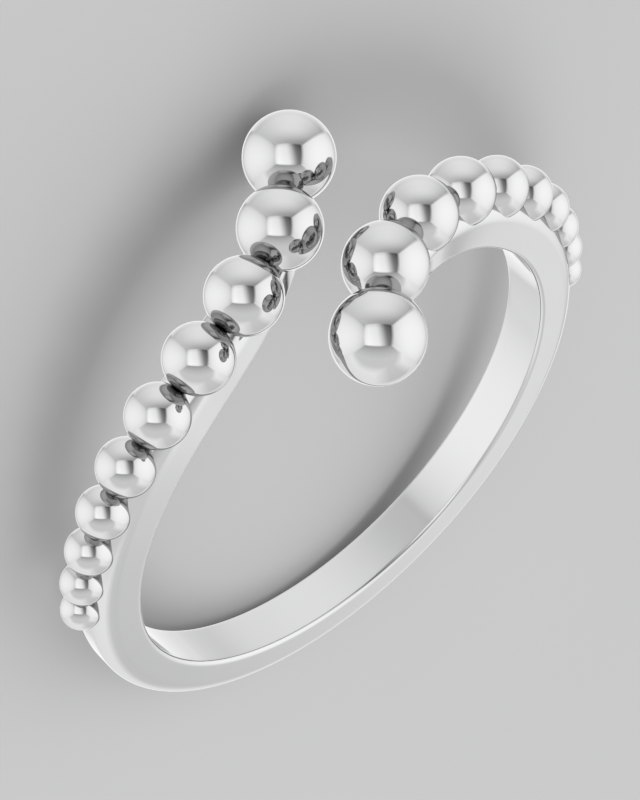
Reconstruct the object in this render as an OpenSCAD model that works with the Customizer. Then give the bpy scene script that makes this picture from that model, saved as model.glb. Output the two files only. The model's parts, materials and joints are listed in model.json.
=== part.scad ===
// Bypass ring in polished white metal. One slim band goes once round the finger, its two ends sweep
// past each other at the front, and a row of touching round beads rides on each half.
// The ring lies on its side, as it would on a table: on the lowest end bead and on the far edge.

/* [Finger hole] */
// Inside diameter of the band
inner_d = 17.3; // [15:0.1:21]

/* [Band] */
// Width of the band along the finger, at the back
band_w = 1.74; // [1.5:0.01:2.4]
// Thickness of the band, from inside to outside
band_t = 1.6; // [1.4:0.05:2]
// Width of the band just before its round ends
end_w = 1.15; // [0.8:0.05:1.4]
// Radius of the two outer edges
outer_edge_r = 0.6; // [0.3:0.05:0.7]
// Radius of the two inner edges
inner_edge_r = 0.15; // [0.1:0.05:0.25]

/* [Bypass] */
// How far each end sweeps along the finger
sweep = 3.46; // [3:0.02:4.5]
// Angle from the middle of the opening at which the sweep begins
sweep_start = 104.5; // [90:0.5:120]
// How far past the middle of the opening the end beads sit
end_angle = 6.8; // [4:0.1:9]
// How sharply the band turns into its sweep
band_power = 6.2; // [5:0.1:8]
// How sharply the row of beads turns into its sweep
bead_power = 7.8; // [6:0.1:9]
// How late the band narrows toward its ends
taper_power = 4; // [2:0.5:6]

/* [Beads] */
// Number of beads on each half
bead_count = 10; // [6:1:10]
// Diameter of the end bead
end_bead_d = 2.9; // [2.4:0.05:3.2]
// Size of each bead as a share of the one before it
bead_ratio = 0.916; // [0.88:0.002:0.93]
// Height of the bead centres above the outside of the band
bead_rise = 0.14; // [0:0.01:0.3]
// How much higher the end bead stands
end_bead_lift = 0.12; // [0:0.01:0.3]
// How deep neighbouring beads run into each other
bead_join = 0.03; // [0.02:0.01:0.08]

/* [Rest] */
// Distance of the balance point from the finger axis, toward the opening
balance = 3.06; // [2:0.01:4]

/* [Hidden] */

silver = [0.80, 0.80, 0.82];

inner_r = inner_d / 2;
outer_r = inner_r + band_t;
middle_r = (inner_r + outer_r) / 2;
bead_seat_r = outer_r + bead_rise;

// The band stops this angle short of the end bead's centre, in a round end
end_setback = 1.5;
band_end = end_setback - end_angle;
round_from = band_end + end_w / 2 / middle_r * 180 / PI;
round_steps = 5;
band_steps = 120;
outer_edge_steps = 5;
inner_edge_steps = 3;
// The edges are never rounder than this share of half the band's width
corner_share = 0.9;
// The inside is made this much too deep, and the bore then cuts it true
bore_spare = 0.05;
bore_h = 4 * sweep;
bore_facets = 180;
bead_facets = 48;
// The next bead is looked for within this angle
search_reach = 30;
search_steps = 24;

// Share of the way from the start of the sweep to the end bead, at angle a from the opening
function sweep_share(a) = max(0, (sweep_start - a) / (sweep_start + end_angle));

// The half that starts at angle 0 sweeps down, and the half that ends at 360 sweeps up
function height_at(a, power) =
    a < 180 ? -sweep * pow(sweep_share(a), power) : sweep * pow(sweep_share(360 - a), power);

// Slope of the band's middle line against the round of the ring, in degrees
function lean_at(a) =
    let (near = min(a, 360 - a),
         rise = sweep * band_power / (sweep_start + end_angle) * pow(sweep_share(near), band_power - 1))
    atan(rise / (middle_r * PI / 180));

// Half the width of the band, square to its middle line, round at the two ends
function half_width(a) =
    let (near = min(a, 360 - a),
         arm = lerp(band_w / 2, end_w / 2, pow(sweep_share(near), taper_power)),
         past = max(0, (round_from - near) / (round_from - band_end)))
    arm * sqrt(1 - pow(min(past, 1), 2));

function lerp(from, to, share) = from + (to - from) * share;

// A point of the band: side is measured across it on the round of the ring, and r from the axis
function band_point(a, side, r) =
    let (turn = a - side * sin(lean_at(a)) / middle_r * 180 / PI)
    [r * sin(turn), -r * cos(turn), height_at(a, band_power) + side * cos(lean_at(a))];

// Corner of the section: an arc of radius c that turns from angle t0 through 90 degrees
function corner(side, r, c, t0, steps) =
    [for (k = [0:steps]) let (t = t0 + 90 * k / steps) [side + c * cos(t), r + c * sin(t)]];

function section(half_w) =
    let (outer_c = min(outer_edge_r, half_w * corner_share),
         inner_c = min(inner_edge_r, half_w * corner_share),
         floor_r = inner_r - bore_spare)
    concat(corner(half_w - outer_c, outer_r - outer_c, outer_c, 0, outer_edge_steps),
           corner(outer_c - half_w, outer_r - outer_c, outer_c, 90, outer_edge_steps),
           corner(inner_c - half_w, floor_r + inner_c, inner_c, 180, inner_edge_steps),
           corner(half_w - inner_c, floor_r + inner_c, inner_c, 270, inner_edge_steps));

// Angles of the sections: close together in the round ends, even along the rest
round_angles = [for (k = [0:round_steps - 1])
    round_from - (round_from - band_end) * cos(90 * (k + 0.5) / round_steps)];
even_angles = [for (k = [0:band_steps]) lerp(round_from, 360 - round_from, k / band_steps)];
section_angles = concat(round_angles, even_angles,
                        [for (k = [round_steps - 1:-1:0]) 360 - round_angles[k]]);

module band() {
    rings = [for (a = section_angles) [for (p = section(half_width(a))) band_point(a, p[0], p[1])]];
    n = len(rings[0]);
    last = len(rings) - 1;
    sides = [for (i = [0:last - 1], j = [0:n - 1])
        let (k = (j + 1) % n)
        each [[i * n + j, (i + 1) * n + k, i * n + k], [i * n + j, (i + 1) * n + j, (i + 1) * n + k]]];
    first_cap = [[for (j = [0:n - 1]) j]];
    last_cap = [[for (j = [n - 1:-1:0]) last * n + j]];
    polyhedron([for (ring = rings) each ring], concat(sides, first_cap, last_cap));
}

function bead_r(i) = end_bead_d / 2 * pow(bead_ratio, i);

function bead_centre(a, lift = 0) =
    let (r = bead_seat_r + lift)
    [r * sin(a), -r * cos(a), height_at(a, bead_power)];

// Angle at which a bead centre lies the given distance from point p, by halving the interval
function angle_at(p, distance, low, high, steps) =
    let (middle = (low + high) / 2)
    steps == 0 ? middle
    : norm(bead_centre(middle) - p) < distance ? angle_at(p, distance, middle, high, steps - 1)
    : angle_at(p, distance, low, middle, steps - 1);

// Each bead touches the one before it, from the end bead down the side
function bead_row(i, a, p, made) =
    let (row = concat(made, [[p, bead_r(i)]]))
    i == bead_count - 1 ? row
    : let (next_a = angle_at(p, bead_r(i) + bead_r(i + 1) - bead_join, a, a + search_reach, search_steps))
      bead_row(i + 1, next_a, bead_centre(next_a), row);

beads = bead_row(0, -end_angle, bead_centre(-end_angle, end_bead_lift), []);

module bead_half() {
    for (bead = beads)
        translate(bead[0]) sphere(r = bead[1], $fn = bead_facets);
}

// The ring as it would stand round a finger that points up, with the opening at the front
module upright_ring() {
    difference() {
        union() {
            band();
            bead_half();
            rotate([0, 180, 0]) bead_half();
        }
        // turned so that the seam of the bore lies at the opening
        rotate([0, 0, -90])
            cylinder(r = inner_r, h = bore_h, center = true, $fn = bore_facets);
    }
}

// On a table it touches at two places, and the balance point lies on the line between them: under
// the lowest end bead, and under the outer edge at the back, which rounds off round this circle
edge_circle_r = outer_r - outer_edge_r;
edge_circle_z = outer_edge_r - band_w / 2;
end_bead = beads[0][0];
bead_to_balance = [-end_bead[0], -balance - end_bead[1]] / norm([-end_bead[0], -balance - end_bead[1]]);
back_step = balance * bead_to_balance[1];
to_back = back_step + sqrt(back_step * back_step + edge_circle_r * edge_circle_r - balance * balance);
back_touch = [0, -balance] + bead_to_balance * to_back;
lean_toward = atan2(back_touch[0], back_touch[1]);
span = edge_circle_r - end_bead[0] * sin(lean_toward) - end_bead[1] * cos(lean_toward);
drop = edge_circle_z - end_bead[2];
lean = atan(drop / span) + asin((bead_r(0) - outer_edge_r) / norm([drop, span]));

lean_axis = [cos(lean_toward), -sin(lean_toward), 0];

// The same turn for one point, to find where the leaning ring ends on each side
function leaned(p) =
    let (along = lean_axis * (lean_axis * p))
    along + (p - along) * cos(lean) - cross(lean_axis, p - along) * sin(lean);

both_rows = [for (bead = beads, side = [1, -1])
    [leaned([side * bead[0][0], bead[0][1], side * bead[0][2]]), bead[1]]];
outer_edges = [for (a = [0:1:360], z = [-1, 1])
    leaned([edge_circle_r * sin(a), edge_circle_r * cos(a), z * edge_circle_z])];
low = [for (axis = [0:1])
    min(concat([for (b = both_rows) b[0][axis] - b[1]],
               [for (p = outer_edges) if (axis == 0 || p[1] > 0) p[axis] - outer_edge_r]))];
high = [for (axis = [0:1])
    max(concat([for (b = both_rows) b[0][axis] + b[1]],
               [for (p = outer_edges) if (axis == 0 || p[1] > 0) p[axis] + outer_edge_r]))];
bottom = min([for (b = both_rows) b[0][2] - b[1]]);

module ring() {
    color(silver)
        translate([-(low[0] + high[0]) / 2, -(low[1] + high[1]) / 2, -bottom])
            rotate(-lean, lean_axis)
                upright_ring();
}

ring();
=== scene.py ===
import json
import math

import bpy
from mathutils import Matrix, Vector


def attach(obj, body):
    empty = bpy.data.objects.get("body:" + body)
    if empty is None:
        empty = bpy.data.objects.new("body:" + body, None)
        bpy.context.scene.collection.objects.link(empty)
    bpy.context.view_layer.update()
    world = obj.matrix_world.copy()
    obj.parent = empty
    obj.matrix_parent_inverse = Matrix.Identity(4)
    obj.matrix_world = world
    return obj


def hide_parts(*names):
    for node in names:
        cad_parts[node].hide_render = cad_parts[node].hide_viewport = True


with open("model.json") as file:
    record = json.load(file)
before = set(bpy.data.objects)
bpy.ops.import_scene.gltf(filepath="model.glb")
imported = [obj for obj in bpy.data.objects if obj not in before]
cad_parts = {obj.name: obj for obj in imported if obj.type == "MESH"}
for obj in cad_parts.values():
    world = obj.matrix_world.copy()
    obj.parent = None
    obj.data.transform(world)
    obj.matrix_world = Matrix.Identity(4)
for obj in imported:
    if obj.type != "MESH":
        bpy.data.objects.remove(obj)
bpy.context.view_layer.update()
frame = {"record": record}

# Band
# A slim band of solid silver that goes once round the finger, its narrowed ends sweeping past each
# other at the front. It is cast with the beads, filed, rounded at its outer edges and polished.

MM = 0.001
INNER_R = 17.3 / 2 * MM
BAND_T = 1.6 * MM
BAND_W = 1.74 * MM
BAND_END_W = 1.15 * MM
OUTER_EDGE_R = 0.6 * MM
INNER_EDGE_R = 0.15 * MM
MIDDLE_R = INNER_R + BAND_T / 2

# Angles are measured from the middle of the opening, and each end goes a little past it
SWEEP = 3.46 * MM
SWEEP_START = math.radians(104.5)
BEAD_END_ANGLE = math.radians(6.8)
BAND_END_ANGLE = math.radians(5.3)
SWEEP_ANGLE = SWEEP_START + BEAD_END_ANGLE
BAND_POWER = 6.2
TAPER_POWER = 4

BAND_STATIONS = 400
SECTION_POINTS = 97
WELD = 0.0005 * MM
# The edges are never rounder than this share of half the width
CORNER_SHARE = 0.9
# The round ends reach their tips by a hair too early, so that the tips close
TIP_SURE = 1.00001
# A third of the section's points lie on its straight sides, and the rest on its corners
SIDE_SHARE = 1 / 3

HAZE_SCALE = 420.0
MARK_SCALE = 5200.0
MARK_STRENGTH = 0.02
MARK_DEPTH = 0.01 * MM
HAZY_SILVER = (0.65, 0.65, 0.655, 1)
CLEAR_SILVER = (0.68, 0.68, 0.68, 1)


class Thread:
    """One socket of a node tree. Arithmetic on it adds Math nodes to that tree."""

    def __init__(self, socket):
        self.socket = socket

    @staticmethod
    def node(tree, kind, settings=(), sockets=(), out=0):
        made = tree.nodes.new(kind)
        for name, value in dict(settings).items():
            setattr(made, name, value)
        for name, value in dict(sockets).items():
            if isinstance(value, Thread):
                tree.links.new(value.socket, made.inputs[name])
            else:
                made.inputs[name].default_value = value
        return Thread(made.outputs[out]) if made.outputs else None

    def math(self, operation, *terms):
        return Thread.node(self.socket.id_data, "ShaderNodeMath", {"operation": operation},
                           enumerate((self,) + terms))

    def after(self, operation, first):
        return Thread.node(self.socket.id_data, "ShaderNodeMath", {"operation": operation},
                           {0: first, 1: self})

    def __add__(self, term): return self.math("ADD", term)
    def __radd__(self, term): return self.math("ADD", term)
    def __sub__(self, term): return self.math("SUBTRACT", term)
    def __rsub__(self, term): return self.after("SUBTRACT", term)
    def __mul__(self, term): return self.math("MULTIPLY", term)
    def __rmul__(self, term): return self.math("MULTIPLY", term)
    def __truediv__(self, term): return self.math("DIVIDE", term)
    def __pow__(self, term): return self.math("POWER", term)
    def __rpow__(self, term): return self.after("POWER", term)

    def least(self, term): return self.math("MINIMUM", term)
    def most(self, term): return self.math("MAXIMUM", term)
    def held(self): return self.most(0.0).least(1.0)
    def sine(self): return self.math("SINE")
    def cosine(self): return self.math("COSINE")
    def sign(self): return self.math("SIGN")

    def toward(self, end, share):
        return self + (end - self) * share

    def ramp(self, start, end):
        """0 up to start, 1 from end on, and even between them."""
        return ((self - start) / (end - start)).held()

    def eased(self):
        """The same way from 0 to 1, with a soft start and end."""
        return self * self * (3.0 - 2.0 * self)


def new_tree(name, sizes):
    """A geometry tree with one named input for each size, and those inputs by name."""
    tree = bpy.data.node_groups.new(name, "GeometryNodeTree")
    for label, sort in sizes.items():
        tree.interface.new_socket(label, in_out="INPUT", socket_type=sort)
    tree.interface.new_socket("Geometry", in_out="OUTPUT", socket_type="NodeSocketGeometry")
    entry = tree.nodes.new("NodeGroupInput")
    return tree, {socket.name: Thread(socket) for socket in entry.outputs if socket.name}


def grown_piece(name, start_mesh, tree, sizes):
    """Runs the tree on the mesh with these sizes, and keeps the result as a plain mesh."""
    piece = bpy.data.objects.new(name, start_mesh)
    bpy.context.collection.objects.link(piece)
    grow = piece.modifiers.new("grow", "NODES")
    grow.node_group = tree
    for item in tree.interface.items_tree:
        if item.in_out == "INPUT" and item.name in sizes:
            grow[item.identifier] = sizes[item.name]
    bpy.context.view_layer.update()
    ready = piece.evaluated_get(bpy.context.evaluated_depsgraph_get())
    mesh = bpy.data.meshes.new_from_object(ready)
    piece.modifiers.clear()
    mesh.name = name
    piece.data = mesh
    return piece


def bare_material(name):
    material = bpy.data.materials.new(name)
    material.use_nodes = True
    material.node_tree.nodes.clear()
    return material, material.node_tree


def colour_between(tree, first, second, share):
    """Two colours mixed: sockets 6 and 7 of the node are its colours, and output 2 is the mix."""
    return Thread.node(tree, "ShaderNodeMix", {"data_type": "RGBA"},
                       {"Factor": share, 6: first, 7: second}, out=2)


def polished_silver(name, roughness, haze):
    """Mirror-bright silver: faint buffing haze, and hair-fine marks that follow no one direction."""
    silver, tree = bare_material(name)
    place = Thread.node(tree, "ShaderNodeTexCoord", out="Object")
    cloud = Thread.node(tree, "ShaderNodeTexNoise", sockets={
        "Vector": place, "Scale": HAZE_SCALE, "Detail": 3.0})
    marks = Thread.node(tree, "ShaderNodeTexNoise", sockets={
        "Vector": place, "Scale": MARK_SCALE, "Detail": 2.0})
    ripple = Thread.node(tree, "ShaderNodeBump", sockets={
        "Strength": MARK_STRENGTH, "Distance": MARK_DEPTH, "Height": marks})
    metal = Thread.node(tree, "ShaderNodeBsdfPrincipled", sockets={
        "Base Color": colour_between(tree, HAZY_SILVER, CLEAR_SILVER, cloud),
        "Metallic": 1.0, "Roughness": roughness + cloud * haze, "Normal": ripple})
    Thread.node(tree, "ShaderNodeOutputMaterial", sockets={"Surface": metal})
    return silver


band_silver = polished_silver("band silver", roughness=0.06, haze=0.05)

tree, size = new_tree("swept band", {
    "Inner radius": "NodeSocketFloat", "Thickness": "NodeSocketFloat", "Width": "NodeSocketFloat",
    "End width": "NodeSocketFloat", "Outer edge": "NodeSocketFloat", "Inner edge": "NodeSocketFloat",
    "Sweep": "NodeSocketFloat", "Stations": "NodeSocketInt", "Section points": "NodeSocketInt",
    "Silver": "NodeSocketMaterial"})

# A flat sheet is bent into the band: X goes along it, and Y goes round its section
sheet = Thread.node(tree, "GeometryNodeMeshGrid", sockets={
    "Size X": 1.0, "Size Y": 1.0, "Vertices X": size["Stations"], "Vertices Y": size["Section points"]})
spot = Thread.node(tree, "GeometryNodeInputPosition")
along = Thread.node(tree, "ShaderNodeSeparateXYZ", sockets={0: spot}, out="X") + 0.5
around = Thread.node(tree, "ShaderNodeSeparateXYZ", sockets={0: spot}, out="Y") + 0.5

# The stations lie closest together in the round ends
turn = math.pi - (math.pi + BAND_END_ANGLE) * (along * math.pi).cosine()
near = turn.least(2 * math.pi - turn)
swept = ((SWEEP_START - near) / SWEEP_ANGLE).most(0.0)
rise = size["Sweep"] * swept ** BAND_POWER * (turn - math.pi).sign()
slope = size["Sweep"] * swept ** (BAND_POWER - 1) * (BAND_POWER / SWEEP_ANGLE / MIDDLE_R)
lean = slope.math("ARCTANGENT")
round_part = size["End width"] * (0.5 / MIDDLE_R)
past = ((round_part - BAND_END_ANGLE - near) / round_part * TIP_SURE).held()
half_w = (size["Width"] * 0.5).toward(size["End width"] * 0.5, swept ** TAPER_POWER)
half_w = half_w * (1.0 - past * past).most(0.0).math("SQRT")
half_t = size["Thickness"] * 0.5

# The section: four corners, each with the straight side that leads to it
corner = (around * 4.0).math("FLOOR")
step = around * 4.0 - corner
straight = step.ramp(0.0, SIDE_SHARE)
bend = step.ramp(SIDE_SHARE, 1.0)
outer_c = size["Outer edge"].least(half_w * CORNER_SHARE)
inner_c = size["Inner edge"].least(half_w * CORNER_SHARE)
centres = []
for number in (corner - 1.0, corner):
    way = number * (math.pi / 2) + math.pi / 4
    across, up = way.cosine().sign(), way.sine().sign()
    radius = inner_c.toward(outer_c, up * 0.5 + 0.5)
    centres.append((across * (half_w - radius), up * (half_t - radius), radius))
(from_x, from_y, from_c), (to_x, to_y, to_c) = centres
facing = (corner + bend) * (math.pi / 2)
radius = from_c.toward(to_c, straight)
side = from_x.toward(to_x, straight) + radius * facing.cosine()
out = size["Inner radius"] + half_t + from_y.toward(to_y, straight) + radius * facing.sine()

angle = turn - side * lean.sine() / MIDDLE_R
point = Thread.node(tree, "ShaderNodeCombineXYZ", sockets={
    0: out * angle.sine(), 1: 0.0 - out * angle.cosine(), 2: rise + side * lean.cosine()})
bent = Thread.node(tree, "GeometryNodeSetPosition", sockets={"Geometry": sheet, "Position": point})
welded = Thread.node(tree, "GeometryNodeMergeByDistance", sockets={"Geometry": bent, "Distance": WELD})
outward = Thread.node(tree, "GeometryNodeFlipFaces", sockets={"Mesh": welded})
smooth = Thread.node(tree, "GeometryNodeSetShadeSmooth", sockets={
    "Geometry": outward, "Shade Smooth": True})
real = Thread.node(tree, "GeometryNodeRealizeInstances", sockets={"Geometry": smooth})
finished = Thread.node(tree, "GeometryNodeSetMaterial", sockets={
    "Geometry": real, "Material": size["Silver"]})
Thread.node(tree, "NodeGroupOutput", sockets={0: finished})

band = grown_piece("band", bpy.data.meshes.new("band start"), tree, {
    "Inner radius": INNER_R, "Thickness": BAND_T, "Width": BAND_W, "End width": BAND_END_W,
    "Outer edge": OUTER_EDGE_R, "Inner edge": INNER_EDGE_R, "Sweep": SWEEP,
    "Stations": BAND_STATIONS, "Section points": SECTION_POINTS, "Silver": band_silver})

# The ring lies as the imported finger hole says: leaning, on an end bead and on the far edge
hole = frame["record"]["mounts"][0]
lie = Vector((0, 0, 1)).rotation_difference(Vector(hole["axis"])).to_matrix().to_4x4()
lie = Matrix.Translation(hole["pos_m"]) @ lie
band.data.transform(lie)
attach(band, "root")
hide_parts("ring")

# Two rows of beads
# Ten solid round beads on each half, cast as one with the band and each touching the next. They
# shrink evenly from the end bead back toward the side of the ring, and are polished like mirrors.

BEAD_COUNT = 10
END_BEAD_R = 2.9 / 2 * MM
BEAD_RATIO = 0.916
BEAD_RISE = 0.14 * MM
END_BEAD_LIFT = 0.12 * MM
BEAD_JOIN = 0.03 * MM
BEAD_POWER = 7.8
BEAD_SEAT_R = INNER_R + BAND_T + BEAD_RISE
BALL_SEGMENTS = 96
BALL_RINGS = 48
# The next bead lies within this angle, and is found by halving it this many times
SEARCH_REACH = math.radians(30)
SEARCH_STEPS = 40


def bead_centre(angle, lift=0.0):
    """Centre of a bead on the half that sweeps down, at this angle from the opening."""
    drop = SWEEP * max(0, (SWEEP_START - angle) / SWEEP_ANGLE) ** BEAD_POWER
    reach = BEAD_SEAT_R + lift
    return Vector((reach * math.sin(angle), -reach * math.cos(angle), -drop))


bead_angle = -BEAD_END_ANGLE
beads = [(bead_centre(bead_angle, END_BEAD_LIFT), END_BEAD_R)]
for number in range(1, BEAD_COUNT):
    last, last_r = beads[-1]
    bead_r = END_BEAD_R * BEAD_RATIO ** number
    low, high = bead_angle, bead_angle + SEARCH_REACH
    for halving in range(SEARCH_STEPS):
        bead_angle = (low + high) / 2
        if (bead_centre(bead_angle) - last).length < last_r + bead_r - BEAD_JOIN:
            low = bead_angle
        else:
            high = bead_angle
    beads.append((bead_centre(bead_angle), bead_r))

bead_silver = polished_silver("bead silver", roughness=0.03, haze=0.03)

tree, size = new_tree("row of beads", {
    "Geometry": "NodeSocketGeometry", "Segments": "NodeSocketInt", "Rings": "NodeSocketInt",
    "Silver": "NodeSocketMaterial"})
ball = Thread.node(tree, "GeometryNodeMeshUVSphere", sockets={
    "Segments": size["Segments"], "Rings": size["Rings"], "Radius": 1.0})
girth = Thread.node(tree, "GeometryNodeInputNamedAttribute", {"data_type": "FLOAT"}, {"Name": "girth"})
row = Thread.node(tree, "GeometryNodeInstanceOnPoints", sockets={
    "Points": size["Geometry"], "Instance": ball, "Scale": girth})
real = Thread.node(tree, "GeometryNodeRealizeInstances", sockets={"Geometry": row})
smooth = Thread.node(tree, "GeometryNodeSetShadeSmooth", sockets={"Geometry": real, "Shade Smooth": True})
finished = Thread.node(tree, "GeometryNodeSetMaterial", sockets={
    "Geometry": smooth, "Material": size["Silver"]})
Thread.node(tree, "NodeGroupOutput", sockets={0: finished})

# The second row is the first one, turned half round the line through the opening
for name, half in (("bead_row_low", 1), ("bead_row_high", -1)):
    seats = bpy.data.meshes.new(name + " seats")
    seats.from_pydata([(half * place.x, place.y, half * place.z) for place, radius in beads], [], [])
    girths = seats.attributes.new("girth", "FLOAT", "POINT")
    girths.data.foreach_set("value", [radius for place, radius in beads])
    bead_row = grown_piece(name, seats, tree, {
        "Segments": BALL_SEGMENTS, "Rings": BALL_RINGS, "Silver": bead_silver})
    bead_row.data.transform(lie)
    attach(bead_row, "root")
    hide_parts("ring")

# Floor
# A plain pale board, matt, that the ring lies on. It takes the ring's shadow, but isn't mirrored in
# the metal, where the tent's own floor shows.

FLOOR_REACH = 1.0
DARK_BOARD = (0.45, 0.45, 0.455, 1)
LIGHT_BOARD = (0.47, 0.47, 0.475, 1)

floor_mesh = bpy.data.meshes.new("floor")
floor_mesh.from_pydata([(x * FLOOR_REACH, y * FLOOR_REACH, 0) for x, y in (
    (-1, -1), (1, -1), (1, 1), (-1, 1))], [], [(0, 1, 2, 3)])
floor = bpy.data.objects.new("floor", floor_mesh)
bpy.context.collection.objects.link(floor)
board, tree = bare_material("pale board")
place = Thread.node(tree, "ShaderNodeTexCoord", out="Object")
grain = Thread.node(tree, "ShaderNodeTexNoise", sockets={"Vector": place, "Scale": 60.0, "Detail": 4.0})
matt = Thread.node(tree, "ShaderNodeBsdfPrincipled", sockets={
    "Base Color": colour_between(tree, DARK_BOARD, LIGHT_BOARD, grain), "Roughness": 0.95})
Thread.node(tree, "ShaderNodeOutputMaterial", sockets={"Surface": matt})
floor_mesh.materials.append(board)
floor.visible_glossy = False

# Camera
# It stands where the photograph's did, above the front of the ring, and is turned so that the ring
# has its upright pose in the picture. Its place and directions are those of a ring that lies flat.

CAMERA_PLACE = Vector((33.843, -74.041, 38.987)) * MM
CAMERA_RIGHT = Vector((-0.75768, 0.00275, 0.65262))
CAMERA_AHEAD = Vector((-0.38034, 0.81075, -0.44499))

right = (lie.to_3x3() @ CAMERA_RIGHT).normalized()
ahead = (lie.to_3x3() @ CAMERA_AHEAD).normalized()
down = ahead.cross(right).normalized()
right = down.cross(ahead)
lens = bpy.data.cameras.new("camera")
lens.sensor_width = 36.0
lens.lens = 123.58
lens.clip_start = 0.001
camera = bpy.data.objects.new("camera", lens)
facing = Matrix((right, -down, -ahead)).transposed().to_4x4()
camera.matrix_world = Matrix.Translation(lie @ CAMERA_PLACE) @ facing
bpy.context.collection.objects.link(camera)
bpy.context.scene.camera = camera

# Light
# A white tent stands round the ring, with a greyer top and a dark mat on its floor, so that the
# mirror-bright beads have something plain to show. One large soft lamp adds a shadow.

# How far the walls of the tent stand from the ring, with the front wall, at the camera, as 1
TENT_RIGHT = 0.676
TENT_LEFT = 0.664
TENT_TOP = 0.535
TENT_BOTTOM = 0.433
TENT_FRONT = 1.0
TENT_BACK = 1.2
# Widths of the soft seam between two walls, and of the soft hem of the mat
SEAM = 1 / 14
HEM = 1 / 6
# Outline of the mat on the floor, as places to the right of the ring and behind it
MAT = ((-0.70, -1.0), (-0.69, -0.216), (-0.25, -0.03), (0.28, -0.03), (0.58, -0.335), (0.63, -1.0))
# A strip of the same stuff leads from the mat to the back, and widens a little
STRIP_LEFT = 0.05
STRIP_RIGHT = 0.33
STRIP_WIDENING = 0.2
STRIP_BACK = 0.92
TENT_STRENGTH = 1.5
# What is left of the light after each further bounce from metal to metal
BOUNCE_LEFT = 0.56

world = bpy.data.worlds.new("white tent")
bpy.context.scene.world = world
world.use_nodes = True
tree = world.node_tree
tree.nodes.clear()
way = Thread.node(tree, "ShaderNodeTexCoord", out="Generated")


def reach(direction):
    """How far the light's way goes in this direction."""
    return Thread.node(tree, "ShaderNodeVectorMath", {"operation": "DOT_PRODUCT"},
                       {0: way, 1: direction}, out="Value")


def inside(start, end, u, w):
    """Distance from one straight hem of the mat, positive toward its middle."""
    (u0, w0), (u1, w1) = start, end
    length = math.hypot(u1 - u0, w1 - w0)
    return (u - u0) * ((w1 - w0) / length) - (w - w0) * ((u1 - u0) / length)


def cloth(tone, across, along, slopes, curves):
    """Tone of a wall that changes evenly across and along it, and falls off in a curve."""
    return (tone + across * slopes[0] + along * slopes[1]
            + across * across * curves[0] + along * along * curves[1])


# Where the way meets the tent: u to the right of the ring, v below it and w behind it
x, y, z = reach(right), reach(down), reach(ahead)
to_right, to_left, to_top = x / TENT_RIGHT, x / -TENT_LEFT, y / -TENT_TOP
to_bottom, to_front, to_back = y / TENT_BOTTOM, z / -TENT_FRONT, z / TENT_BACK
nearest = to_right.most(to_left).most(to_top).most(to_bottom).most(to_front).most(to_back)
u, v, w = x / nearest, y / nearest, z / nearest

# Each wall is brightest near its middle
right_cloth = cloth(0.90, v, w, slopes=(-0.03, -0.055), curves=(-0.37, -0.29))
left_cloth = cloth(0.85, v, w, slopes=(0.03, -0.02), curves=(-0.75, -0.27))
left_cloth = left_cloth - (to_top / nearest).ramp(0.8, 1.0) * 0.07
back_cloth = 0.75 - u * u * 0.3

# The top is lit in one round spot, darkens a little behind it, and is even again at the back
spot_of_light = math.e ** ((u - 0.1) * (u - 0.1) * -3.25) * w.ramp(-0.9, -0.1).eased()
top_cloth = 0.37 - u * 0.17 + spot_of_light * 0.37 - w.ramp(0.2, 0.4) * 0.05
top_cloth = top_cloth.toward(0.68, w.ramp(0.45, 0.95))

# The front falls off toward the right, where it is open, and is bright again at its right edge
fall = (u - v * 0.19).ramp(-0.08, 0.406).eased()
front_cloth = 0.79 + v * 0.14 - u * 0.23 - fall * 0.53 + u.ramp(0.55, 0.63) * 0.25
front_cloth = front_cloth - u.ramp(-0.45, -0.65) * 0.17
front_cloth = front_cloth * (1.0 - (v * v).ramp(0.12, 0.19) * 0.1)

# The floor is pale, with the darker mat in front of the ring and the strip behind it
mat = inside(MAT[0], MAT[1], u, w)
for start, end in zip(MAT[1:], MAT[2:]):
    mat = mat.least(inside(start, end, u, w))
strip = (u - STRIP_LEFT).least(STRIP_RIGHT + w * STRIP_WIDENING - u).least(STRIP_BACK - w)
grey = mat.most(strip).ramp(-HEM / 2, HEM / 2)
mat_cloth = (0.68 + w * 0.4).least(0.56 - w.held() * 0.15) + w.ramp(0.45, 0.65) * 0.18
floor_cloth = (0.766 + u * 0.01 - w * 0.168).toward(mat_cloth, grey)

total, shade = 0.0, 0.0
for distance, tone in ((to_right, right_cloth), (to_left, left_cloth), (to_top, top_cloth),
                       (to_bottom, floor_cloth), (to_front, front_cloth), (to_back, back_cloth)):
    share = (distance / nearest).ramp(1 - SEAM, 1.0)
    total = share + total
    shade = share * tone + shade
shade = shade / total

# The depth is 2 where the metal mirrors the tent straight away, and grows with each further bounce
depth = Thread.node(tree, "ShaderNodeLightPath", out="Ray Depth")
fade = BOUNCE_LEFT ** (depth - 2.0).most(0.0)
glow = Thread.node(tree, "ShaderNodeBackground", sockets={
    "Strength": fade * TENT_STRENGTH, "Color": shade})
Thread.node(tree, "ShaderNodeOutputWorld", sockets={"Surface": glow})

LAMP_PLACE = Vector((0.15, 0.12, 0.35))
lamp = bpy.data.lights.new("soft lamp", "AREA")
lamp.shape = "SQUARE"
lamp.size = 0.25
lamp.energy = 0.6
soft_lamp = bpy.data.objects.new("soft lamp", lamp)
facing = LAMP_PLACE.to_track_quat("Z", "Y").to_matrix().to_4x4()
soft_lamp.matrix_world = Matrix.Translation(LAMP_PLACE) @ facing
soft_lamp.visible_glossy = False
soft_lamp.visible_camera = False
bpy.context.collection.objects.link(soft_lamp)
bpy.context.scene.view_settings.view_transform = "Standard"
